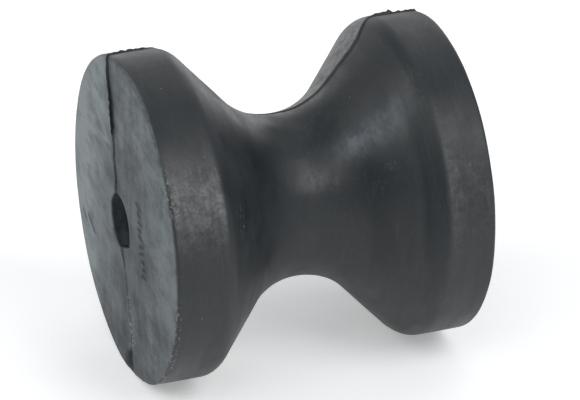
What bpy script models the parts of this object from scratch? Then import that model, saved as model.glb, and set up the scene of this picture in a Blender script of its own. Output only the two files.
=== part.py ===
"""Bow roller for a boat trailer: one hourglass moulding in black rubber, with a plain bore for the trailer's shaft.

The origin is the centre of the roller. +Y runs along the bore, +Z is up, and the roller lies on its two treads.
All lengths are in metres.
"""

import math

import bmesh
import bpy

# Driving dimensions
LENGTH = 0.0762  # over the two hub faces
FLANGE_DIAMETER = 0.0742  # over the treads
NECK_DIAMETER = 0.0372  # at the bottom of the saddle
BORE_DIAMETER = 0.0130
SADDLE_RADIUS = 0.0171  # hollow arc in which the keel rests
CONE_ANGLE = math.radians(48)  # from the axis to the straight flank of the saddle
SHOULDER_RADIUS = 0.0049  # rounding between a flank and its tread
RIM_RADIUS = 0.0008  # rounding between a tread and its end face
BORE_CHAMFER = 0.0004  # lead-in at both mouths of the bore
HUB_DIAMETER = 0.0240  # flat ring round the bore that runs against the bracket
END_CROWN = 0.0008  # how far the hub's flat stands out beyond the rims

# Fineness of the turned surface
SEGMENTS = 80  # round the axis
SADDLE_STEPS = 7
SHOULDER_STEPS = 5
RIM_STEPS = 2

RUBBER_COLOUR = (0.040, 0.043, 0.047, 1.0)
RUBBER_ROUGHNESS = 0.62


def clear_scene():
    for obj in list(bpy.data.objects):
        bpy.data.objects.remove(obj, do_unlink=True)


def rubber():
    """Vulcanised black rubber, neither polished nor fully matt."""
    material = bpy.data.materials.new("black_rubber")
    material.use_nodes = True
    shader = material.node_tree.nodes["Principled BSDF"]
    shader.inputs["Base Color"].default_value = RUBBER_COLOUR
    shader.inputs["Roughness"].default_value = RUBBER_ROUGHNESS
    shader.inputs["Metallic"].default_value = 0.0
    return material


def arc(centre, radius, start, end, steps):
    """Points (along the axis, out from it) of an arc. Angles are measured from the outward direction."""
    angles = [start + (end - start) * i / steps for i in range(steps + 1)]
    return [(centre[0] + radius * math.sin(a), centre[1] + radius * math.cos(a)) for a in angles]


def half_profile():
    """The outline from the middle of the saddle, over the tread, to the mouth of the bore at the +Y end."""
    tread = FLANGE_DIAMETER / 2
    bore = BORE_DIAMETER / 2
    hub_face = LENGTH / 2
    rim_face = hub_face - END_CROWN
    saddle_centre = (0.0, NECK_DIAMETER / 2 + SADDLE_RADIUS)
    saddle = arc(saddle_centre, SADDLE_RADIUS, math.pi, math.pi - CONE_ANGLE, SADDLE_STEPS)

    # The straight flank leaves the saddle's arc here and meets the shoulder's arc without a corner.
    flank_y, flank_r = saddle[-1]
    rise = tread - SHOULDER_RADIUS * (1 - math.cos(CONE_ANGLE)) - flank_r
    shoulder_y = flank_y + rise / math.tan(CONE_ANGLE) + SHOULDER_RADIUS * math.sin(CONE_ANGLE)
    shoulder_centre = (shoulder_y, tread - SHOULDER_RADIUS)
    shoulder = arc(shoulder_centre, SHOULDER_RADIUS, -CONE_ANGLE, 0.0, SHOULDER_STEPS)

    rim = arc((rim_face - RIM_RADIUS, tread - RIM_RADIUS), RIM_RADIUS, 0.0, math.pi / 2, RIM_STEPS)
    hub = [(hub_face, HUB_DIAMETER / 2), (hub_face, bore + BORE_CHAMFER), (hub_face - BORE_CHAMFER, bore)]
    return saddle + shoulder + rim + hub


def turned_mesh(name, outline):
    """A closed outline (along +Y, out from it) turned once round the Y axis."""
    mesh = bpy.data.meshes.new(name)
    work = bmesh.new()
    corners = [work.verts.new((out, along, 0.0)) for along, out in outline]
    edges = [work.edges.new((corners[i - 1], corners[i])) for i in range(len(corners))]
    bmesh.ops.spin(
        work,
        geom=corners + edges,
        cent=(0.0, 0.0, 0.0),
        axis=(0.0, 1.0, 0.0),
        angle=2 * math.pi,
        steps=SEGMENTS,
        use_merge=True,
    )
    bmesh.ops.recalc_face_normals(work, faces=work.faces)
    work.to_mesh(mesh)
    work.free()
    mesh.shade_smooth()
    mesh.set_sharp_from_angle(angle=math.radians(35))
    return mesh


def roller_body():
    """The whole roller is a single moulding, so it is one solid."""
    half = half_profile()
    other_half = [(-along, out) for along, out in reversed(half[1:])]
    mesh = turned_mesh("roller_body", other_half + half)
    mesh.materials.append(rubber())
    obj = bpy.data.objects.new("roller_body", mesh)
    bpy.context.scene.collection.objects.link(obj)
    return obj


clear_scene()
roller_body()
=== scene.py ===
"""Looks of the bow roller: one rubber moulding with its parting line, flash, bloom and wear, and painted
light and shade in places, on a pale floor.

Everything is in metres in the CAD frame: +Y runs along the bore and +Z is up. The near end face is at -Y, and
the far one at +Y. An angle round the axis is counted from +X towards +Z. The mould's parting line divides the
roller into a front half, on the +X side, and a back half.
"""

import math
from types import SimpleNamespace

import bpy
import numpy as np
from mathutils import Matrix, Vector, noise


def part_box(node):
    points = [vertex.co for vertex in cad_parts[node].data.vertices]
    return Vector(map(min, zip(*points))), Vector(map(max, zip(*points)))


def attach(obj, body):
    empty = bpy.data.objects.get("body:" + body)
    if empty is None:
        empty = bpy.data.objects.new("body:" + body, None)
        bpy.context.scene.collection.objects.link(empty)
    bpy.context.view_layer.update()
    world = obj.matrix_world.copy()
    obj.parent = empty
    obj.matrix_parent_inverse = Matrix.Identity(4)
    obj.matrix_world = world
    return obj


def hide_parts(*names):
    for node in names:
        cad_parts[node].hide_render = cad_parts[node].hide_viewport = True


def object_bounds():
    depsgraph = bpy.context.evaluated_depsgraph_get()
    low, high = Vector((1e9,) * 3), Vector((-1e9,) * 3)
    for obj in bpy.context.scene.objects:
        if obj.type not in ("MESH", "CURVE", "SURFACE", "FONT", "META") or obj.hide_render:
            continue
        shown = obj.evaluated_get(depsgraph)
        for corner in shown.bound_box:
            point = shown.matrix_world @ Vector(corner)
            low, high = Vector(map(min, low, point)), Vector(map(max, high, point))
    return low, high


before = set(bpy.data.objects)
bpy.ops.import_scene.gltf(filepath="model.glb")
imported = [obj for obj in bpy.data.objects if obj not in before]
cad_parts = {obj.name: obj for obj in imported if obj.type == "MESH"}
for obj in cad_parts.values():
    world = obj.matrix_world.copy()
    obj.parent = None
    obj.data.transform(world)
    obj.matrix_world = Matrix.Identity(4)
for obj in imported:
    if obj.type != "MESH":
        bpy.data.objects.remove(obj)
CAD_LOW, CAD_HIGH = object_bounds()
ROLLER_LOW, ROLLER_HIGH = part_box("roller_body")

MM = 0.001

# The turned outline. The -Y flange is a little fuller than the +Y one, and the +Y end is a little raised.
HUB_FACE = (ROLLER_HIGH.y - ROLLER_LOW.y) / 2
TREAD_RADIUS = (ROLLER_HIGH.x - ROLLER_LOW.x) / 2
NEAR_TREAD_RADIUS = TREAD_RADIUS + 0.25 * MM
FAR_TREAD_RADIUS = TREAD_RADIUS - 0.30 * MM
FAR_END_RISE = 0.5 * MM
NECK_RADIUS = 18.6 * MM
BORE_RADIUS = 6.5 * MM
NEAR_SADDLE_RADIUS = 17.1 * MM
FAR_SADDLE_RADIUS = 17.7 * MM
SADDLE_MIDDLE = 0.3 * MM
CONE_ANGLE = math.radians(48)
SHOULDER_RADIUS = 4.8 * MM
RIM_RADIUS = 0.8 * MM
HUB_RADIUS = 12.0 * MM
HUB_RISE = 0.8 * MM
RIM_FACE = HUB_FACE - HUB_RISE
MOUTH_RADIUS = 0.25 * MM

# Fineness of the mesh. Rows lie close together at the rims and in the bore's mouths, and columns lie close
# together at the parting lines.
ROW_STEP = 0.50 * MM
EDGE_ROW_STEP = 0.16 * MM
BORE_ROW_STEP = 2.5 * MM
FINE_BORE_DEPTH = 1.6 * MM
SEAM_COLUMN_STEP = math.radians(0.16)
SEAM_COLUMNS = 9
COLUMN_GROWTH = 1.28
WIDEST_COLUMN = math.radians(1.7)

# The camera and the lights stand at an azimuth, from -Y towards +X, and an elevation, both in degrees.
CAMERA_AZIMUTH = 69.86
CAMERA_ELEVATION = 26.2
CAMERA_DISTANCE = 0.798
CAMERA_AIM_RIGHT = 0.0020
CAMERA_AIM_UP = -0.0011
CAMERA_LENS = 218.5
CAMERA_SENSOR = 36

# Softboxes as name, azimuth, elevation, distance, width and height, and watts
SOFTBOXES = (
    ("right_softbox", 120, 45, 1.5, (0.75, 0.75), 9),
    ("front_softbox", 48, 48, 1.5, (0.90, 0.90), 5.3),
    ("left_softbox", -9, 31, 1.5, (0.75, 0.75), 6),
    ("back_softbox", 229, 16, 3.6, (1.90, 1.20), 20.5),
    ("top_softbox", 236, 54, 1.5, (0.90, 0.90), 2.2),
    ("far_softbox", 272, 9, 3.6, (2.60, 0.75), 15),
)
FLOOR_HALF_SIDE = 3.0
FLOOR_GLOW = 0.31
TENT_COLOUR = (0.935, 0.995, 1.06, 1)
TENT_STRENGTH = 0.30
BACKDROP_STRENGTH = 0.90


# ---------------------------------------------------------------- outline

def line(start, end, step):
    """Points from start to end, without the end itself."""
    start, end = np.array(start), np.array(end)
    count = max(1, round(np.linalg.norm(end - start) / step))
    return start + (end - start) * (np.arange(count) / count)[:, None]


def arc(centre, radius, start, end, step):
    """Points of an arc, without its end. Angles turn from outward towards +Y."""
    count = max(2, round(abs(end - start) * radius / step))
    angles = start + (end - start) * np.arange(count) / count
    return np.array(centre) + radius * np.stack([np.sin(angles), np.cos(angles)], 1)


def half_outline(saddle_y, saddle_radius, tread):
    """Half the outline as (along, out) points, from the saddle's middle to the bore's, as if towards +Y."""
    flank_start = np.array([math.sin(CONE_ANGLE), -math.cos(CONE_ANGLE)]) * saddle_radius
    flank_start += [saddle_y, NECK_RADIUS + saddle_radius]
    rise = tread - SHOULDER_RADIUS * (1 - math.cos(CONE_ANGLE)) - flank_start[1]
    flank_end = flank_start + [rise / math.tan(CONE_ANGLE), rise]
    shoulder_y = flank_end[0] + SHOULDER_RADIUS * math.sin(CONE_ANGLE)
    rim_y, rim_r = RIM_FACE - RIM_RADIUS, tread - RIM_RADIUS
    mouth_y, mouth_r = HUB_FACE - MOUTH_RADIUS, BORE_RADIUS + MOUTH_RADIUS
    right_angle = math.pi / 2
    saddle_centre = (saddle_y, NECK_RADIUS + saddle_radius)
    return np.concatenate([
        arc(saddle_centre, saddle_radius, math.pi, math.pi - CONE_ANGLE, ROW_STEP),
        line(flank_start, flank_end, ROW_STEP),
        arc((shoulder_y, tread - SHOULDER_RADIUS), SHOULDER_RADIUS, -CONE_ANGLE, 0, ROW_STEP),
        line((shoulder_y, tread), (rim_y, tread), ROW_STEP),
        arc((rim_y, rim_r), RIM_RADIUS, 0, right_angle, EDGE_ROW_STEP),
        line((RIM_FACE, rim_r), (HUB_FACE, HUB_RADIUS), ROW_STEP),
        line((HUB_FACE, HUB_RADIUS), (HUB_FACE, mouth_r), ROW_STEP),
        arc((mouth_y, mouth_r), MOUTH_RADIUS, right_angle, math.pi, EDGE_ROW_STEP),
        line((mouth_y, BORE_RADIUS), (mouth_y - FINE_BORE_DEPTH, BORE_RADIUS), EDGE_ROW_STEP),
        line((mouth_y - FINE_BORE_DEPTH, BORE_RADIUS), (0, BORE_RADIUS), BORE_ROW_STEP),
    ])


def closed_outline():
    """The whole outline, from the saddle over the +Y flange, through the bore and over the -Y flange."""
    far = half_outline(SADDLE_MIDDLE, FAR_SADDLE_RADIUS, FAR_TREAD_RADIUS)
    near = half_outline(-SADDLE_MIDDLE, NEAR_SADDLE_RADIUS, NEAR_TREAD_RADIUS)
    middle_of_bore = [[0.0, BORE_RADIUS]]
    return np.concatenate([far, middle_of_bore, near[:0:-1] * [-1, 1]])


def outline_normals(points):
    """Unit normals at the outline's points, facing out of the rubber."""
    tangent = np.roll(points, -1, 0) - np.roll(points, 1, 0)
    tangent /= np.linalg.norm(tangent, axis=1)[:, None]
    return np.stack([-tangent[:, 1], tangent[:, 0]], 1)


# ---------------------------------------------------------------- parting line

# Where the top and bottom parting lines run, in degrees round the axis. The mould's two halves did not meet
# quite true, so each line wanders: by distance along the axis over the treads and the saddle, and by radius
# over an end face, both in mm.
TOP_OVER = ((-37.3, 106.2), (-35, 109), (-31, 111.5), (-27, 112), (-22, 116), (-12, 118), (0, 116), (2, 112),
            (3, 109), (6, 107), (9, 106.6), (14, 105), (17, 103.6), (19, 102.9), (21, 103.6), (23.9, 107),
            (25.5, 109.5), (28, 112), (34, 111.5), (37.3, 109))
TOP_ON_FACE = ((6.9, 122), (8.6, 111.5), (11.5, 108.4), (14.5, 107.8), (17.0, 105.8), (19.3, 106.4),
               (21.5, 104.6), (23.6, 105.2), (27.4, 104.6), (31.5, 106.2), (34, 106.9), (37.3, 106.2))
TOP_ON_FAR_FACE = ((6.9, 104), (20, 107), (37.1, 109))
BOTTOM_OVER = ((-37.3, -82.5), (-20, -80), (20, -78), (37.3, -80))
BOTTOM_ON_FACE = ((6.9, -88), (9.5, -77.5), (16, -78), (25.5, -79.3), (30, -82), (37.1, -82.5))
BOTTOM_ON_FAR_FACE = ((6.9, -78), (37.1, -80))

# How far the back half stands proud along the top line, in mm, by radius over the near end face and by
# distance along the axis elsewhere
LEDGE_ON_FACE = ((8, 0.08), (18.6, 0.11), (19.4, 0.28), (22, 0.46), (24, 0.60), (27.6, 0.60), (28.8, 0.50),
                 (31, 0.40), (35, 0.26), (37.3, 0.18))
LEDGE_OVER = ((-37, 0.25), (-30, 0.20), (-12, 0.14), (6, 0.20), (14, 0.28), (24, 0.30), (30, 0.24),
              (37, 0.18))

# How wide the crack under the proud edge is, in mm by radius over the near end face
CRACK_WIDTH = ((7.9, 0), (9, 0.04), (18.5, 0.05), (19.6, 0.22), (22, 0.34), (25, 0.42), (31, 0.36),
               (33, 0.14), (36.2, 0.08), (37.0, 0))

# Columns of the mesh across the crack, from the parting line backwards. Each has a shift towards the front,
# in widths of the crack, and a level: below the face in widths of the crack, above it in heights of the lip.
LIP_COLUMNS = ((-0.15, -1.1), (-0.75, -0.95), (-0.70, -0.30), (-0.15, 0.35), (0.16, 0.85))

# How far the near mouth of the bore is drawn in, in mm, by degrees round the axis
MOUTH_DRAWN = ((0, 0.65), (20, 0.95), (50, 1.00), (75, 0.95), (95, 0.80), (112, 0.45), (125, 0.10),
               (150, 0.05), (162, -0.15), (180, 0.15), (205, 0.20), (225, 0.10), (246, -0.15), (260, -0.30),
               (270, 0.05), (280, 0.35), (293, 0.50), (310, 0.25), (320, -0.15), (328, -0.40), (342, 0.20))


def read_off(at, points):
    """Values at the given distances, on straight lines between points of (distance in mm, value)."""
    places, values = zip(*points)
    return np.interp(at / MM, places, values)


def parting_angles(rows, over, on_face, on_far_face):
    """The line's angle at every row of the outline, also along the bore, where it joins its two mouths."""
    along, out = rows.T
    slack = 0.01 * MM
    angle = np.radians(read_off(along, over))
    near, far = along < -RIM_FACE + slack, along > RIM_FACE - slack
    angle[near] = np.radians(read_off(out[near], on_face))
    angle[far] = np.radians(read_off(out[far], on_far_face))
    in_bore = (out < BORE_RADIUS + MOUTH_RADIUS) & ~near & ~far
    mouths = [np.radians(on_face[0][1]), np.radians(on_far_face[0][1])]
    angle[in_bore] = np.interp(along[in_bore], [-RIM_FACE, RIM_FACE], mouths)
    return angle


def half_turn_fractions():
    """Places of the columns between two parting lines, from 0 to 1, close together at both."""
    steps = [SEAM_COLUMN_STEP] * SEAM_COLUMNS
    while steps[-1] * COLUMN_GROWTH < WIDEST_COLUMN:
        steps.append(steps[-1] * COLUMN_GROWTH)
    plain = math.pi - 2 * sum(steps)
    count = math.ceil(plain / WIDEST_COLUMN)
    steps = steps + [plain / count] * count + steps[::-1]
    return np.cumsum([0] + steps[:-1]) / math.pi


# ---------------------------------------------------------------- relief

def smooth_noise(points, scale, seed):
    """Noise from about -1 to 1 at each of the points."""
    offset = Vector((seed * 3.17, seed * 7.31, seed * 1.93))
    return np.array([noise.noise(Vector(p) * scale + offset) for p in points])


def ragged(travel, scale, seed):
    """The same along a line, from about -1 to 1, with sharper small steps on top."""
    places = np.stack([travel * scale, travel * 0, travel * 0], 1)
    coarse = smooth_noise(places, 1.0, seed)
    fine = smooth_noise(places, 3.7, seed + 0.5)
    return coarse + 0.5 * fine


def smooth_step(value, low, high):
    """0 up to low, 1 from high on, and an eased rise between them."""
    t = np.clip((value - low) / (high - low), 0, 1)
    return t * t * (3 - 2 * t)


def bell(value, half):
    """1 at 0, falling off smoothly to both sides."""
    return np.exp(-(value / half) ** 2)


def fading(value, reach):
    """1 at 0, falling off at once to both sides."""
    return np.exp(-np.abs(value) / reach)


def between(value, low, high, soft):
    """1 between low and high, 0 outside, with soft ends."""
    return smooth_step(value, low - soft, low + soft) * (1 - smooth_step(value, high - soft, high + soft))


class Surface:
    """The roller's skin as a grid of rows along the outline and columns round the axis.

    The columns start at the top parting line, cross the front half to the bottom line, and return over the
    back half. from_top and from_bottom are distances round the axis from those lines, positive on the front
    half. A point is moved by height along the outline's normal, by inward towards the axis, and by forward
    round the axis, from the top line towards the front.
    """

    def __init__(self):
        self.rows = closed_outline()
        self.row_normals = outline_normals(self.rows)
        fractions = half_turn_fractions()
        columns = 2 * len(fractions)
        top = parting_angles(self.rows, TOP_OVER, TOP_ON_FACE, TOP_ON_FAR_FACE)[:, None]
        bottom = parting_angles(self.rows, BOTTOM_OVER, BOTTOM_ON_FACE, BOTTOM_ON_FAR_FACE)[:, None]
        travel, reach = self.row_travel(), np.maximum(self.rows[:, 1:], BORE_RADIUS)
        top = top + 0.11 * MM * ragged(travel, 800, 3)[:, None] / reach
        bottom = bottom + 0.24 * MM * ragged(travel, 420, 4)[:, None] / reach
        front = top + (bottom - top) * fractions
        back = bottom + (top - 2 * math.pi - bottom) * fractions
        self.along = np.repeat(self.rows[:, :1], columns, 1)
        self.out = np.repeat(self.rows[:, 1:], columns, 1)
        self.angle = np.concatenate([front, back], 1)
        self.is_back = np.tile(np.arange(columns) > len(fractions), (len(self.rows), 1))
        side = np.where(self.is_back, -1, 1)
        from_top = np.concatenate([top - front, back - (top - 2 * math.pi)], 1)
        from_bottom = np.concatenate([front - bottom, bottom - back], 1)
        self.from_top = from_top * self.out * side
        self.from_bottom = from_bottom * self.out * side
        self.height = np.zeros_like(self.along)
        self.inward = np.zeros_like(self.along)
        self.forward = np.zeros_like(self.along)

    def row_travel(self):
        """Distance of each row along the outline."""
        gaps = np.linalg.norm(np.diff(self.rows, axis=0), axis=1)
        return np.concatenate([[0], np.cumsum(gaps)])

    def places(self, height=None):
        """World positions of all the points, with the relief so far or with another height in its place."""
        height = self.height if height is None else height
        along = self.along + height * self.row_normals[:, :1]
        out = self.out + height * self.row_normals[:, 1:] - self.inward
        rise = FAR_END_RISE * np.clip(along / HUB_FACE, 0, 1)
        angle = self.angle - self.forward / self.out
        return np.stack([out * np.cos(angle), along, out * np.sin(angle) + rise], -1)

    def noise(self, scale, seed):
        """Noise over the smooth skin, from about -1 to 1."""
        points = self.places(height=0).reshape(-1, 3)
        return smooth_noise(points, scale, seed).reshape(self.along.shape)


def on_near_face(surface):
    """True on the near end face out to its rim, and False in the bore."""
    return (surface.along < -RIM_FACE + 0.3 * MM) & (surface.out > BORE_RADIUS + 0.2 * MM)


def across_face(surface):
    """Each point's place across the end faces, as x and z in mm."""
    return surface.out * np.cos(surface.angle) / MM, surface.out * np.sin(surface.angle) / MM


def turn_from(surface, degrees):
    """Signed angle of each point from the given one, in degrees."""
    return np.degrees(np.angle(np.exp(1j * (surface.angle - math.radians(degrees)))))


def add_unevenness(surface):
    """The moulding is a little wavy, so that reflections on it are not perfect."""
    surface.height += 0.060 * MM * surface.noise(95, 1) + 0.022 * MM * surface.noise(420, 2)


def add_mould_step(surface):
    """The back half stands proud of the front half along the top parting line, highest on the -Y face."""
    s = surface
    along, radius = s.rows.T
    on_face = on_near_face(s)[:, 0]
    in_bore = (radius < BORE_RADIUS + 0.6 * MM) & ~on_face
    torn = np.clip(1 + 0.40 * ragged(s.row_travel(), 1150, 8), 0.5, 1.5)
    ledge = read_off(radius, LEDGE_ON_FACE) * np.where(radius > 19 * MM, torn, 1)
    edge = np.where(on_face, ledge, read_off(along, LEDGE_OVER)) * MM * ~in_bore
    rest = np.where(on_face, 0.20, 0.10) * MM * ~in_bore
    reach = np.where(on_face, 5.0, 4.5) * MM
    dip = np.where(on_face, 0.24, 0.14) * MM * ~in_bore
    edge, rest, reach, dip = edge[:, None], rest[:, None], reach[:, None], dip[:, None]
    lift = rest + np.maximum(edge - rest, 0) * fading(s.from_top, reach)
    lift = lift * (1 - 0.7 * fading(s.from_bottom, 4 * MM))
    sunk = dip * fading(s.from_top, 1.8 * MM)
    s.height += np.where(s.is_back, lift, -sunk)


def add_torn_lip(surface):
    """On the -Y face the proud edge overhangs a narrow crack."""
    s = surface
    torn = np.clip(0.9 + 0.5 * ragged(s.row_travel(), 1300, 14), 0.3, 1.5)
    width = read_off(s.rows[:, 1], CRACK_WIDTH) * torn * on_near_face(s)[:, 0] * MM
    cracked = np.clip(width / (0.3 * MM), 0, 1)
    lip = s.height[:, -len(LIP_COLUMNS)].copy()
    for column, (shift, level) in enumerate(LIP_COLUMNS):
        s.forward[:, -column] += shift * width
        target = level * (lip if level > 0 else width)
        s.height[:, -column] = s.height[:, -column] * (1 - cracked) + target * cracked
    s.height[:, 1] -= 0.45 * width
    s.height[:, 2] -= 0.15 * width


def add_parting_groove(surface):
    """A fine groove runs along the front edge of the step."""
    s = surface
    outside = s.out > BORE_RADIUS + 0.6 * MM
    width = (0.16 + 0.05 * ragged(s.row_travel(), 1100, 12)[:, None]) * MM
    deep = np.where(on_near_face(s), 0.20, 0.13) * MM
    groove = deep * bell(s.from_top - 0.14 * MM, width)
    groove += 0.12 * MM * bell(s.from_bottom + 0.10 * MM, width)
    s.height -= np.where(outside, groove, 0)


def add_flash(surface):
    """Torn flash stands up along both parting lines on the treads, with one tooth on the +Y tread."""
    s = surface
    far = s.along > 0
    tread = between(np.abs(s.along), 26.5 * MM, RIM_FACE - 0.3 * MM, 0.6 * MM)
    tread *= s.out > TREAD_RADIUS - 1.5 * MM
    torn = np.clip(0.34 + 0.60 * ragged(s.row_travel(), 1900, 21), 0.05, 1.1)[:, None] * MM
    tooth = bell(s.along - 31.3 * MM, 0.40 * MM) * 0.75 * MM
    tooth += between(s.along, 29.3 * MM, 30.7 * MM, 0.2 * MM) * 0.35 * MM
    top_blade = bell(s.from_top, 0.17 * MM)
    bottom_blade = bell(s.from_bottom, 0.16 * MM)
    s.height += tread * top_blade * (torn * np.where(far, 0.75, 0.65) + tooth * far)
    s.height += tread * bottom_blade * torn * 0.3


def chip_area(surface):
    """1 in the wedge torn out of the back half, beside the parting line at the foot of the -Y face."""
    s = surface
    wide = read_off(s.out, ((30.6, 0), (32, 2.2), (34.6, 5.2), (37.4, 4.2))) * MM
    area = between(s.from_bottom, -wide, -0.04 * MM, 0.10 * MM) * smooth_step(s.out, 30.4 * MM, 31.2 * MM)
    area = area * (1 - 0.8 * smooth_step(s.out, 35.8 * MM, 36.8 * MM))
    return area * (s.is_back & (s.along < -RIM_FACE + RIM_RADIUS * 1.2))


def add_chip(surface):
    """The chip is about a millimetre deep, with a rough floor."""
    facing = surface.row_normals[:, :1] ** 2
    rough = 1 + 0.3 * surface.noise(500, 40)
    surface.height -= 1.05 * MM * chip_area(surface) * facing * rough


def add_rim_nicks(surface):
    """Small nicks in the -Y rim, mostly low on the front side."""
    s = surface
    rng = np.random.default_rng(5)
    along_rim = RIM_FACE - 0.3 * MM
    for _ in range(30):
        angle = math.radians(rng.uniform(-80, 4))
        size = rng.uniform(0.35, 0.9) * MM
        depth = rng.uniform(0.10, 0.34) * MM
        out = NEAR_TREAD_RADIUS - rng.uniform(-0.1, 0.5) * MM
        across = (s.angle - angle) * NEAR_TREAD_RADIUS
        up = np.hypot(s.along + along_rim, s.out - out)
        s.height -= depth * np.exp(-(across / size) ** 2 - (up / (0.5 * size)) ** 2)


def draw_in_bore_mouth(surface):
    """The bore's near mouth is not quite round: flash draws its front side in and cuts its foot off flat."""
    s = surface
    depth_in = np.maximum(s.along + HUB_FACE, 0)
    mouth = (s.out < BORE_RADIUS + 1.4 * MM) * (s.along < -RIM_FACE + 8 * MM)
    mouth = mouth * bell(depth_in, 1.3 * MM)
    near_edge = 1 - smooth_step(s.out, BORE_RADIUS + MOUTH_RADIUS, BORE_RADIUS + 1.3 * MM)
    turns, distances = zip(*MOUTH_DRAWN)
    drawn = np.interp(np.mod(np.degrees(s.angle), 360), turns, distances, period=360)
    on_ring = np.stack([np.cos(s.angle) * 3, np.sin(s.angle) * 3, 0 * s.angle], -1).reshape(-1, 3)
    tears = smooth_noise(on_ring, 1, 31).reshape(s.angle.shape)
    foot = bell(turn_from(s, -70), 40)
    s.inward += mouth * near_edge * (drawn + 0.12 * foot * tears) * MM


def tick_area(surface):
    """1 on a plain row of ticks beside the bore, and on two slanting bars at the back of the -Y face."""
    x, z = across_face(surface)
    area = 0 * x
    rng = np.random.default_rng(12)
    for i in range(10):
        centre_x, centre_z = 13.0 + 0.36 * i + rng.uniform(-0.4, 0.4), 9.3 - 1.76 * i
        reach, thick = rng.uniform(0.9, 1.7), rng.uniform(0.24, 0.40)
        slant = rng.uniform(-0.45, 0.55) * (x - centre_x)
        tick = between(x, centre_x - reach, centre_x + reach, 0.3)
        area = np.maximum(area, tick * between(z - slant, centre_z - thick, centre_z + thick, 0.14))
    for low, high, level in ((-31, -27.5, -11.4), (-26.4, -20.8, -10.6)):
        bar = between(x, low, high, 0.5) * between(z + 0.42 * (x - low), level, level + 0.6, 0.16)
        area = np.maximum(area, bar)
    return area * on_near_face(surface)


def add_ticks(surface):
    """The ticks and the bars stand a little proud of the face."""
    surface.height += 0.30 * MM * tick_area(surface)


def crease_area(surface):
    """1 along a few torn folds behind the crack on the -Y face."""
    x, z = across_face(surface)
    area = 0 * x
    for low, high, level, slope in ((-21, -13, 25.0, -0.10), (-20, -8.6, 20.4, -0.18), (-18, -9, 16.2, -0.04),
                                    (-14, -6.6, 18.6, -0.34), (-27, -19, 14.0, 0.10)):
        fold = bell(z - level - slope * (x - low), 0.50) * between(x, low, high, 1.4)
        area = np.maximum(area, fold)
    return area * on_near_face(surface) * surface.is_back


def add_creases(surface):
    """The folds stand a little proud of the face."""
    surface.height += 0.20 * MM * crease_area(surface)


def finish_mesh(surface, name):
    """The grid as a closed mesh with quads facing out."""
    points = surface.places()
    rows, columns = surface.along.shape
    index = np.arange(rows * columns).reshape(rows, columns)
    right, down = np.roll(index, -1, 1), np.roll(index, -1, 0)
    corner = np.roll(right, -1, 0)
    quads = np.stack([index, right, corner, down], -1).reshape(-1, 4)
    mesh = bpy.data.meshes.new(name)
    mesh.vertices.add(points.size // 3)
    mesh.vertices.foreach_set("co", points.astype(np.float32).ravel())
    mesh.loops.add(quads.size)
    mesh.loops.foreach_set("vertex_index", quads.astype(np.int32).ravel())
    mesh.polygons.add(len(quads))
    mesh.polygons.foreach_set("loop_start", np.arange(0, quads.size, 4, dtype=np.int32))
    mesh.update(calc_edges=True)
    mesh.validate()
    mesh.shade_smooth()
    return mesh


def store(mesh, name, values):
    """Keeps a mask on the mesh, one value to a vertex, for the material to read."""
    layer = mesh.attributes.new(name, "FLOAT", "POINT")
    layer.data.foreach_set("value", values.astype(np.float32).ravel())


def make_roller():
    """The whole roller as one object, with its relief and its masks."""
    surface = Surface()
    add_unevenness(surface)
    add_mould_step(surface)
    add_parting_groove(surface)
    add_torn_lip(surface)
    add_flash(surface)
    add_chip(surface)
    add_rim_nicks(surface)
    draw_in_bore_mouth(surface)
    add_ticks(surface)
    add_creases(surface)
    mesh = finish_mesh(surface, "moulded_roller")
    store(mesh, "bloom", bloom_mask(surface))
    store(mesh, "bare_rubber_and_painted_shade", bare_rubber_and_shade_mask(surface))
    store(mesh, "dust_and_sheen", dust_and_sheen_mask(surface))
    store(mesh, "blue_bloom_and_sheen", blue_bloom_and_sheen_mask(surface))
    store(mesh, "flecks_and_glints", flecks_and_glints_mask(surface))
    store(mesh, "dusk", dusk_mask(surface))
    store(mesh, "pale", pale_mask(surface))
    store(mesh, "matt", matt_mask(surface))
    mesh.materials.append(rubber_material())
    roller = bpy.data.objects.new("moulded_roller", mesh)
    bpy.context.scene.collection.objects.link(roller)
    return roller


# ---------------------------------------------------------------- masks

def patch(surface, along, angle, half_along, half_angle):
    """A soft oval patch of the turned skin, with lengths in mm and angles in degrees."""
    reach = np.hypot((surface.along / MM - along) / half_along, turn_from(surface, angle) / half_angle)
    return np.exp(-reach ** 2)


def patches(surface, *rows):
    """Patches added up, each as its strength and then its place and size."""
    return sum(strength * patch(surface, *place) for strength, *place in rows)


def spot(x, z, centre_x, centre_z, half_x, half_z):
    """A soft oval patch of an end face, all in mm."""
    return np.exp(-np.hypot((x - centre_x) / half_x, (z - centre_z) / half_z) ** 2)


def bloom_mask(surface):
    """1 where the end faces carry grey bloom. At the top of the near one it runs a little over the rim."""
    s = surface
    over_rim = 0.5 * MM * bell(turn_from(s, 72), 24) * (s.along < 0)
    edge = smooth_step(np.abs(s.along) + over_rim, RIM_FACE - 0.45 * MM, RIM_FACE - 0.05 * MM)
    return edge * (s.out > BORE_RADIUS + 0.7 * MOUTH_RADIUS)


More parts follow.
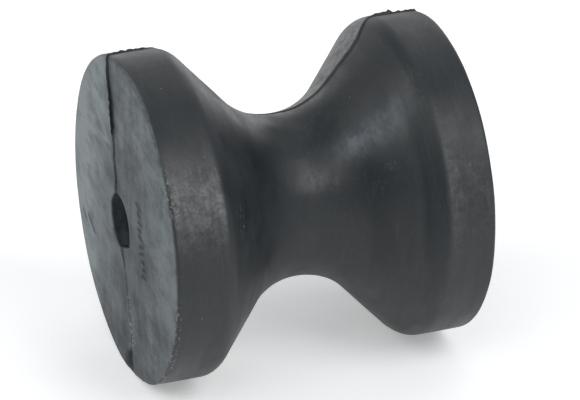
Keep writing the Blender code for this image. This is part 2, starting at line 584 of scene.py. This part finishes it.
def bare_rubber_and_shade_mask(surface):
    """1 where dark rubber is painted: bare rubber and painted shade on the step's side at the parting lines,
    bare rubber on the ticks, and painted shade in the chip and in the bore's mouths.

        It paints shade thinly along the front side of the crack too, and darkens a line round the front of
        the -Y tread.
    """
    s = surface
    face = s.along < -RIM_FACE + 0.8 * MM
    ledge = read_off(s.out, ((8, 0.25), (19, 0.30), (20, 1), (37, 1)))
    # The step's side at the parting lines is bare rubber and painted shade.
    wall = between(s.from_top, np.where(face, -0.30, -0.10) * MM, np.where(face, 0.05, 0.24) * MM, 0.06 * MM)
    wall = wall * np.where(face, ledge, 0.35)
    shade_width = read_off(s.out, ((20, 2.6), (24, 3.2), (30, 3.4), (36, 2.4))) * MM
    # Painted shade on the front half beside the crack.
    shade = 0.62 * bell(s.from_top, shade_width) * (s.from_top > 0) * face * (s.out > 20 * MM)
    under_bore = 1 - smooth_step(s.out, 8 * MM, 12.5 * MM)
    widened = 0.9 * under_bore
    bottom_line = between(s.from_bottom, -(0.16 + widened) * MM, (0.06 + widened) * MM, 0.06 * MM)
    bottom_line = bottom_line * face * (0.5 + 0.45 * under_bore)
    band = between(s.along, -RIM_FACE + 0.12 * MM, -RIM_FACE + 0.60 * MM, 0.14 * MM)
    band *= 0.65 * (1 - smooth_step(turn_from(s, 0), 28, 56))
    band = band * (s.out > NEAR_TREAD_RADIUS - 1.5 * MM)
    # Painted shade in the bore's mouths.
    mouth = 0.5 * bell(np.abs(s.along) - HUB_FACE, 0.9 * MM)
    mouth = mouth * (s.out < BORE_RADIUS + 0.7 * MOUTH_RADIUS)
    # Painted shade in the chip's hollow, and dark ticks.
    torn = 0.85 * np.maximum(chip_area(s), tick_area(s))
    return np.maximum.reduce([wall, shade, bottom_line, torn, band, mouth])


def dust_and_sheen_mask(surface):
    """1 where warm grey dusting and scuffing lie thickest, with painted sheen and highlights: on both treads,
    the -Y flank, the saddle's middle and the back half.
    """
    s = surface
    near_tread = between(s.along, -36.5 * MM, -24.9 * MM, 0.30 * MM) * (s.out > 35 * MM)
    far_tread = between(s.along, 26.7 * MM, 36.9 * MM, 0.3 * MM) * (s.out > 35 * MM)
    # The near tread is lighter where the light falls: scuffing and painted light, with painted sheen along
    # its top.
    lit = bell(turn_from(s, 29), 12.5)
    tread = near_tread * (0.57 * lit + 0.08 * bell(turn_from(s, 94), 17))
    tread += 0.14 * near_tread * lit * patches(s, (1, -36, 33, 1.6, 40), (2.3, -25.0, 30, 1.5, 13))
    # Painted grazing sheen high on the -Y flank, with dusting.
    near_flank = patches(s, (1.1, -21.3, 78, 3.0, 9), (1.0, -16.0, 77, 3.6, 6), (0.5, -13.5, 77, 1.4, 6))
    near_flank *= smooth_step(s.along, -24.6 * MM, -23.6 * MM)
    # A painted highlight on the saddle's middle, with dusting.
    neck = patches(s, (0.38, 3, 33, 4, 7.5), (0.10, 6.8, 79, 5, 10))
    # A painted highlight along the +Y shoulder and painted sheen on the +Y tread's top, with dusting.
    strip = far_tread * bell(turn_from(s, 22), 20) * (0.15 + 0.22 * patch(s, 27.6, 22, 1.7, 90))
    far_top = 0.14 * far_tread * bell(turn_from(s, 100), 20) + 0.11 * patch(s, 24.6, 58, 1.9, 10)
    # The back half is lighter: dusting and painted grazing sheen, most of it beside the parting line.
    behind = 0.30 * s.is_back * (np.abs(s.along) < 30 * MM)
    far_behind = 1.3 * s.is_back * smooth_step(-s.from_top, 0.1 * MM, 0.5 * MM)
    far_behind = far_behind * between(s.along, 3 * MM, 27 * MM, 2 * MM)
    return np.clip(np.maximum.reduce([tread, near_flank, neck, strip, far_top, behind, far_behind]), 0, 1.3)


def blue_bloom_and_sheen_mask(surface):
    """1 where the +Y flank carries a bluish bloom with painted sheen, and in the bore, where the bluish
    colour is painted light.
    """
    s = surface
    flank = patches(s, (0.66, 11.6, 49, 3.2, 8), (0.45, 16.5, 52, 4.4, 8), (0.14, 21, 56, 3, 6))
    flank *= 1 - smooth_step(s.along, 22 * MM, 25.5 * MM)
    # In the bore the bluish colour is painted light, brighter deeper in.
    deep = smooth_step(HUB_FACE - np.abs(s.along), 4 * MM, 12 * MM)
    in_bore = (s.out < BORE_RADIUS + 0.15 * MM) * (0.34 + 0.5 * deep)
    return np.clip(np.maximum(flank, in_bore), 0, 1)


def matt_mask(surface):
    """1 or more where the skin is dull: beside the +Y shoulder, high on both flanks and in the bore."""
    s = surface
    shoulder = 1.7 * between(s.along, 21.5 * MM, 26.3 * MM, 0.8 * MM) * bell(turn_from(s, 20), 26)
    flank_tops = np.maximum(0.8 * patch(s, -3, 77, 4, 8), 0.6 * patch(s, 21, 96, 4, 8))
    in_bore = 1.8 * (s.out < BORE_RADIUS + MOUTH_RADIUS)
    return np.maximum.reduce([shoulder, flank_tops, in_bore])


def flecks_and_glints_mask(surface):
    """1 where pale crumb and painted glints lie: on burrs of the near face's lower parting line, on its rim
    and in a few scratches.
    """
    s = surface
    lower = between(s.out, 17 * MM, 30 * MM, 2 * MM) * on_near_face(s)
    # Painted glints on burrs along the lower parting line, with pale crumb.
    seam = bell(s.from_bottom - 0.3 * MM, 1.0 * MM) * lower
    lowest = between(s.out, 21 * MM, 30 * MM, 2 * MM) * on_near_face(s)
    seam += 0.7 * bell(s.from_bottom - 1.2 * MM, 2.4 * MM) * lowest
    # Pale bits and painted glints along the -Y rim.
    rim = between(s.along, -RIM_FACE - 0.1 * MM, -RIM_FACE + 1.0 * MM, 0.2 * MM) * (s.out > 35.8 * MM)
    rim = rim * (0.5 * between(turn_from(s, -40), -40, 34, 6) + 0.6 * between(turn_from(s, 33), -7, 7, 3))
    scratches = patches(s, (0.5, -20.4, 21, 1.0, 5), (0.25, 17.2, 33, 0.9, 1.5), (0.25, 14.9, 25, 0.9, 1.5))
    return np.clip(np.maximum.reduce([seam, rim, scratches]), 0, 1)


def dusk_mask(surface):
    """1 where the end faces' bloom is thinner and purplish, round the bore and at the foot, and where shade
    is painted beside the step.
    """
    s = surface
    x, z = across_face(s)
    long_patch = 1.4 * bell(x - 8 - 0.12 * z, 11) * (1 - smooth_step(z, 6, 26))
    # Painted shade on the front half beside the step.
    beside_step = 1.17 * fading(s.from_top, 3.6 * MM) * (s.from_top > 0) * (s.out > 19 * MM)
    foot = (1 - smooth_step(z, -36, -18)) * smooth_step(x, -27, -14)
    below_bore = 0.9 * spot(x, z, -3, -15, 7, 9)
    behind_step = 0.9 * spot(x, z, -11, 8, 6, 8)
    lower_front = 1.1 * spot(x, z, 25, -19, 7, 10)
    round_bore = 1.2 * bell(s.out - 9 * MM, 4 * MM) * (1 - smooth_step(z, -2, 6))
    thin_bloom_and_shade = [long_patch, beside_step, foot, below_bore, behind_step, lower_front, round_bore]
    return np.clip(np.maximum.reduce(thin_bloom_and_shade), 0, 1)


def pale_mask(surface):
    """1 or more where the back half's bloom is thick: high up, along the proud edge and far out."""
    s = surface
    x, z = across_face(s)
    dim = 1 - 0.8 * spot(x, z, -9, 12, 7, 12)
    upper = 0.95 * smooth_step(-s.from_top / MM, 0, 3) * smooth_step(z, -20, 16) * dim
    edge = 0.7 * fading(s.from_top + 1.0 * MM, 1.6 * MM) * between(s.out / MM, 20, 38, 2) * dim
    far_out = 1.7 * smooth_step(-x, 16, 32)
    far_out = far_out * (1 - 0.4 * smooth_step(z, 10, 30)) * (1 + 0.5 * smooth_step(-z, 6, 20))
    torn = 1.2 * crease_area(s) + spot(x, z, -10, 16.2, 3.5, 1.4)
    thick = np.clip(np.maximum.reduce([upper, edge, far_out, torn]), 0, 2)
    return thick * s.is_back * np.where(s.along < 0, 1, 0.3)


# ---------------------------------------------------------------- materials

# Colours of the rubber and the floor. Where there are two of a kind, a noise runs between them.
SKIN_DARK = (0.0088, 0.0122, 0.0142, 1)
SKIN_LIGHT = (0.0152, 0.0186, 0.0210, 1)
SKIN_GRAIN = (0.045, 0.048, 0.051, 1)
SKIN_SCUFF = (0.060, 0.063, 0.065, 1)
# Bare rubber, also used as painted shade
BARE_RUBBER_AND_SHADE = (0.006, 0.0075, 0.0085, 1)
# Warm dusting, also used as painted sheen and highlights
WARM_DUST_AND_SHEEN = (0.205, 0.203, 0.200, 1)
# Bluish bloom, also used as painted sheen and as painted light in the bore
BLUE_BLOOM_AND_SHEEN = (0.102, 0.122, 0.138, 1)
BLOOM_LOW = (0.045, 0.056, 0.060, 1)
BLOOM_HIGH = (0.104, 0.126, 0.131, 1)
BLOOM_THICK = (0.166, 0.192, 0.198, 1)
# Thinner bloom, also used as painted shade beside the step
DUSK_LOW = (0.023, 0.028, 0.033, 1)
DUSK_HIGH = (0.053, 0.061, 0.070, 1)
# Pale crumb, also used as painted glints
CRUMB_AND_GLINT = (0.24, 0.24, 0.23, 1)
RUBBER_IOR = 1.5
FLOOR_LOW = (0.88, 0.88, 0.88, 1)
FLOOR_HIGH = (0.92, 0.92, 0.92, 1)
WHITE = (1, 1, 1, 1)


class Nodes:
    """Short ways to build a material's node tree."""

    def __init__(self, name):
        self.material = bpy.data.materials.new(name)
        self.material.use_nodes = True
        self.tree = self.material.node_tree
        self.shader = self.tree.nodes["Principled BSDF"]

    def add(self, kind, **settings):
        """A new node of this kind, with its settings."""
        node = self.tree.nodes.new(kind)
        for key, value in settings.items():
            setattr(node, key, value)
        return node

    def link(self, source, target):
        self.tree.links.new(source, target)

    def place(self, target, value):
        """Puts a number or a colour in a socket, or links another node's output to it."""
        if isinstance(value, bpy.types.NodeSocket):
            self.link(value, target)
        else:
            target.default_value = value

    def coordinates(self, stretch=(1, 1, 1), turn=(0, 0, 0)):
        """The object's own coordinates, turned and scaled."""
        source = self.add("ShaderNodeTexCoord").outputs["Object"]
        mapping = self.add("ShaderNodeMapping")
        mapping.inputs["Scale"].default_value = stretch
        mapping.inputs["Rotation"].default_value = turn
        self.link(source, mapping.inputs["Vector"])
        return mapping.outputs["Vector"]

    def noise(self, vector, scale, detail=3.0, rough=0.55):
        """Noise in space, with scale counted in lumps to a metre."""
        node = self.add("ShaderNodeTexNoise")
        node.inputs["Scale"].default_value = scale
        node.inputs["Detail"].default_value = detail
        node.inputs["Roughness"].default_value = rough
        self.link(vector, node.inputs["Vector"])
        return node.outputs["Fac"]

    def lathe_noise(self, across, around, detail=4.0, rough=0.6):
        """Noise drawn out round the axis: fine by distance along and out from it, and coarse by angle."""
        place = self.add("ShaderNodeSeparateXYZ")
        self.link(self.add("ShaderNodeTexCoord").outputs["Object"], place.inputs[0])
        reach = self.add("ShaderNodeCombineXYZ")
        self.link(place.outputs["X"], reach.inputs["X"])
        self.link(place.outputs["Z"], reach.inputs["Z"])
        length = self.add("ShaderNodeVectorMath", operation="LENGTH")
        self.link(reach.outputs["Vector"], length.inputs[0])
        heading = self.add("ShaderNodeVectorMath", operation="NORMALIZE")
        self.link(reach.outputs["Vector"], heading.inputs[0])
        turned = self.add("ShaderNodeVectorMath", operation="SCALE")
        self.link(heading.outputs["Vector"], turned.inputs[0])
        turned.inputs["Scale"].default_value = around
        along = self.add("ShaderNodeCombineXYZ")
        self.link(self.times(place.outputs["Y"], across), along.inputs["Y"])
        total = self.add("ShaderNodeVectorMath", operation="ADD")
        self.link(turned.outputs["Vector"], total.inputs[0])
        self.link(along.outputs["Vector"], total.inputs[1])
        node = self.add("ShaderNodeTexNoise", noise_dimensions="4D")
        self.link(total.outputs["Vector"], node.inputs["Vector"])
        self.link(self.times(length.outputs["Value"], across), node.inputs["W"])
        node.inputs["Scale"].default_value = 1.0
        node.inputs["Detail"].default_value = detail
        node.inputs["Roughness"].default_value = rough
        return node.outputs["Fac"]

    def attribute(self, name):
        """A mask that the mesh holds."""
        return self.add("ShaderNodeAttribute", attribute_name=name).outputs["Fac"]

    def spread(self, value, low, high, to_low=0.0, to_high=1.0):
        """The value from low to high, eased and carried over to a range of its own."""
        node = self.add("ShaderNodeMapRange", interpolation_type="SMOOTHSTEP")
        self.link(value, node.inputs["Value"])
        node.inputs["From Min"].default_value = low
        node.inputs["From Max"].default_value = high
        node.inputs["To Min"].default_value = to_low
        node.inputs["To Max"].default_value = to_high
        return node.outputs["Result"]

    def math(self, operation, a, b):
        """One arithmetic node."""
        node = self.add("ShaderNodeMath", operation=operation)
        self.place(node.inputs[0], a)
        self.place(node.inputs[1], b)
        return node.outputs["Value"]

    def times(self, a, b):
        """The product of two numbers."""
        return self.math("MULTIPLY", a, b)

    def plus(self, a, b):
        """The sum of two numbers."""
        return self.math("ADD", a, b)

    def weighted(self, *terms):
        """The sum of values, each with its weight."""
        total = self.times(*terms[0])
        for value, weight in terms[1:]:
            total = self.plus(total, self.times(value, weight))
        return total

    def mix(self, factor, a, b):
        """a where factor is 0 and b where it is 1, for colours."""
        return self.mixed("RGBA", factor, a, b)

    def blend(self, factor, a, b):
        """The same for numbers."""
        return self.mixed("FLOAT", factor, a, b)

    def mixed(self, data_type, factor, a, b):
        node = self.add("ShaderNodeMix", data_type=data_type)
        self.place(node.inputs["Factor"], factor)
        self.place(node.inputs["A"], a)
        self.place(node.inputs["B"], b)
        return node.outputs["Result"]


def rubber_textures(n):
    """The noises that the rubber's layers share."""
    plain = n.coordinates()
    streaked = n.coordinates(stretch=(1, 1, 0.35), turn=(0, math.radians(-7), 0))
    wide = n.coordinates(stretch=(0.45, 1, 1), turn=(0, math.radians(-12), 0))
    t = SimpleNamespace()
    t.cloudy = n.noise(plain, 70, 3)
    t.fine = n.noise(plain, 1500, 3, 0.6)
    t.speckle = n.noise(plain, 1500, 2, 0.7)
    t.mottle = n.noise(plain, 420, 4, 0.65)
    t.patchy = n.noise(n.coordinates(stretch=(1, 1, 0.6)), 95, 4, 0.6)
    t.streaks = n.noise(streaked, 300, 5, 0.62)
    t.blotches = n.noise(wide, 430, 5, 0.68)
    t.clouds = n.noise(wide, 160, 4, 0.62)
    t.drifts = n.noise(wide, 75, 3, 0.55)
    t.scuffs = n.lathe_noise(1500, 5)
    t.bands = n.lathe_noise(330, 3, 3, 0.5)
    t.grey = n.weighted((t.streaks, 0.12), (t.blotches, 0.26), (t.clouds, 0.30), (t.drifts, 0.16),
                        (t.speckle, 0.16))
    return t


def warm_dust_and_sheen(n, t):
    """How much warm dusting and painted sheen lies on the turned skin, brushed round the axis."""
    wear = n.times(n.spread(t.mottle, 0.34, 0.64, 0.42, 1.05), n.spread(t.scuffs, 0.30, 0.68, 0.62, 1.0))
    wear = n.times(wear, n.spread(t.bands, 0.30, 0.66, 0.80, 1.0))
    dust_and_sheen = n.times(n.attribute("dust_and_sheen"), wear)
    return n.times(dust_and_sheen, n.spread(t.speckle, 0.34, 0.68, 0.7, 1.25))


def skin_colour(n, t, dust_and_sheen):
    """The turned skin: black rubber with fine grain, scuffs, warm dusting with painted sheen, and a bluish
    bloom with painted sheen.
    """
    skin = n.mix(n.spread(t.cloudy, 0.35, 0.68), SKIN_DARK, SKIN_LIGHT)
    skin = n.mix(n.spread(t.fine, 0.55, 0.80, 0, 0.40), skin, SKIN_GRAIN)
    skin = n.mix(n.spread(t.scuffs, 0.52, 0.74, 0, 0.17), skin, SKIN_SCUFF)
    skin = n.mix(dust_and_sheen, skin, WARM_DUST_AND_SHEEN)
    blue = n.times(n.attribute("blue_bloom_and_sheen"), n.spread(t.mottle, 0.36, 0.62, 0.50, 1.1))
    blue = n.times(blue, n.spread(t.scuffs, 0.30, 0.66, 0.75, 1.05))
    return n.mix(blue, skin, BLUE_BLOOM_AND_SHEEN)


def face_colour(n, t):
    """The end faces: grey bloom, thinner and purplish in places, darkened as painted shade beside the step,
    and thick in others.
    """
    grey = n.spread(t.grey, 0.42, 0.57)
    thin_bloom_and_shade = n.times(n.attribute("dusk"), n.spread(t.patchy, 0.30, 0.58, 0.60, 1.0))
    thin_bloom_and_shade = n.plus(thin_bloom_and_shade, n.spread(t.patchy, 0.50, 0.70, 0.0, 0.75))
    face = n.mix(thin_bloom_and_shade, n.mix(grey, BLOOM_LOW, BLOOM_HIGH), n.mix(grey, DUSK_LOW, DUSK_HIGH))
    thick = n.times(n.attribute("pale"), n.spread(t.clouds, 0.40, 0.58, 0.35, 1.0))
    return n.mix(thick, face, BLOOM_THICK)


def add_details(n, t, colour):
    """Bare rubber with painted shade, crumb-like pale marks with painted glints, and a few single specks over
    the other colours.
    """
    bare_and_shade = n.times(n.attribute("bare_rubber_and_painted_shade"), n.spread(t.mottle, 0.25, 0.5, 0.85, 1.0))
    crumbs_and_glints = n.times(n.attribute("flecks_and_glints"), n.spread(t.speckle, 0.54, 0.64))
    cells = n.add("ShaderNodeTexVoronoi")
    cells.inputs["Scale"].default_value = 170
    n.link(n.coordinates(), cells.inputs["Vector"])
    specks = n.spread(cells.outputs["Distance"], 0.018, 0.040, 0.45, 0.0)
    return n.mix(n.math("MAXIMUM", crumbs_and_glints, specks), n.mix(bare_and_shade, colour, BARE_RUBBER_AND_SHADE), CRUMB_AND_GLINT)


def roughness(n, t, bloom, dust_and_sheen):
    """The skin has a slight sheen, less where dusting or painted sheen lies or it is matt, and the bloom has
    hardly any.
    """
    skin = n.plus(n.spread(t.cloudy, 0.30, 0.72, 0.44, 0.58), n.spread(t.bands, 0.30, 0.70, -0.04, 0.05))
    skin = n.plus(skin, n.times(dust_and_sheen, 0.16))
    skin = n.plus(skin, n.times(n.attribute("matt"), 0.22))
    return n.blend(bloom, skin, n.spread(t.streaks, 0.3, 0.7, 0.74, 0.62))


def grain_normal(n, t, bloom):
    """Fine grain all over, and the bloom's own unevenness, which is strongest on the end faces."""
    grain = n.add("ShaderNodeBump")
    grain.inputs["Strength"].default_value = 0.35
    grain.inputs["Distance"].default_value = 0.05 * MM
    n.link(t.fine, grain.inputs["Height"])
    brushed = n.add("ShaderNodeBump")
    brushed.inputs["Distance"].default_value = 0.14 * MM
    n.link(n.spread(bloom, 0, 1, 0.10, 0.55), brushed.inputs["Strength"])
    n.link(t.grey, brushed.inputs["Height"])
    n.link(grain.outputs["Normal"], brushed.inputs["Normal"])
    return brushed.outputs["Normal"]


def rubber_material():
    """Black rubber: the turned skin, and the bloomed end faces where the mask bloom is 1."""
    n = Nodes("black_rubber")
    t = rubber_textures(n)
    bloom = n.attribute("bloom")
    dust_and_sheen = warm_dust_and_sheen(n, t)
    colour = n.mix(bloom, skin_colour(n, t, dust_and_sheen), face_colour(n, t))
    n.link(add_details(n, t, colour), n.shader.inputs["Base Color"])
    n.link(roughness(n, t, bloom, dust_and_sheen), n.shader.inputs["Roughness"])
    n.link(grain_normal(n, t, bloom), n.shader.inputs["Normal"])
    n.shader.inputs["IOR"].default_value = RUBBER_IOR
    return n.material


def floor_material():
    """A pale matt floor that glows a little, as a light table does."""
    n = Nodes("pale_floor")
    tint = n.noise(n.coordinates(), 9, 2)
    n.link(n.mix(tint, FLOOR_LOW, FLOOR_HIGH), n.shader.inputs["Base Color"])
    n.shader.inputs["Roughness"].default_value = 0.9
    n.shader.inputs["Emission Color"].default_value = WHITE
    n.shader.inputs["Emission Strength"].default_value = FLOOR_GLOW
    return n.material


# ---------------------------------------------------------------- studio

def make_floor():
    """A large flat sheet under the treads."""
    side, level = FLOOR_HALF_SIDE, CAD_LOW.z
    corners = [(-side, -side, level), (side, -side, level), (side, side, level), (-side, side, level)]
    mesh = bpy.data.meshes.new("floor")
    mesh.from_pydata(corners, [], [(0, 1, 2, 3)])
    mesh.materials.append(floor_material())
    floor = bpy.data.objects.new("floor", mesh)
    bpy.context.scene.collection.objects.link(floor)


def towards(azimuth, elevation):
    """The direction from the roller to a camera or a light, with both angles in degrees."""
    a, e = math.radians(azimuth), math.radians(elevation)
    return Vector((math.sin(a) * math.cos(e), -math.cos(a) * math.cos(e), math.sin(e)))


def face_roller(obj, back):
    """Turns a camera or a light so that it looks along the direction opposite to back."""
    obj.rotation_mode = "QUATERNION"
    obj.rotation_quaternion = back.to_track_quat("Z", "Y")


def make_camera():
    """The photo's view: a long lens, well round towards +X from the near end face and a little above it."""
    back = towards(CAMERA_AZIMUTH, CAMERA_ELEVATION)
    right = towards(CAMERA_AZIMUTH + 90, 0)
    up = back.cross(right)
    data = bpy.data.cameras.new("camera")
    data.lens = CAMERA_LENS
    data.sensor_width = CAMERA_SENSOR
    data.clip_start = 0.05
    data.clip_end = 20
    camera = bpy.data.objects.new("camera", data)
    bpy.context.scene.collection.objects.link(camera)
    camera.location = right * CAMERA_AIM_RIGHT + up * CAMERA_AIM_UP + back * CAMERA_DISTANCE
    face_roller(camera, back)
    bpy.context.scene.camera = camera


def area_light(name, azimuth, elevation, distance, size, watts):
    """A soft box that faces the roller and isn't seen itself."""
    back = towards(azimuth, elevation)
    data = bpy.data.lights.new(name, "AREA")
    data.shape = "RECTANGLE"
    data.size, data.size_y = size
    data.energy = watts
    light = bpy.data.objects.new(name, data)
    bpy.context.scene.collection.objects.link(light)
    light.location = back * distance
    face_roller(light, back)
    light.visible_camera = False


def make_surroundings():
    """A dim tent that lights the roller from all round, and a plain white backdrop for the camera alone."""
    world = bpy.data.worlds.new("tent")
    bpy.context.scene.world = world
    world.use_nodes = True
    tree = world.node_tree
    tent = tree.nodes["Background"]
    tent.inputs["Color"].default_value = TENT_COLOUR
    tent.inputs["Strength"].default_value = TENT_STRENGTH
    backdrop = tree.nodes.new("ShaderNodeBackground")
    backdrop.inputs["Color"].default_value = WHITE
    backdrop.inputs["Strength"].default_value = BACKDROP_STRENGTH
    seen = tree.nodes.new("ShaderNodeLightPath").outputs["Is Camera Ray"]
    choice = tree.nodes.new("ShaderNodeMixShader")
    tree.links.new(seen, choice.inputs["Fac"])
    tree.links.new(tent.outputs["Background"], choice.inputs[1])
    tree.links.new(backdrop.outputs["Background"], choice.inputs[2])
    tree.links.new(choice.outputs["Shader"], tree.nodes["World Output"].inputs["Surface"])


roller = make_roller()
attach(roller, "root")
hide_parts("roller_body")

make_floor()
make_camera()
for softbox in SOFTBOXES:
    area_light(*softbox)
make_surroundings()
bpy.context.scene.view_settings.view_transform = "Standard"
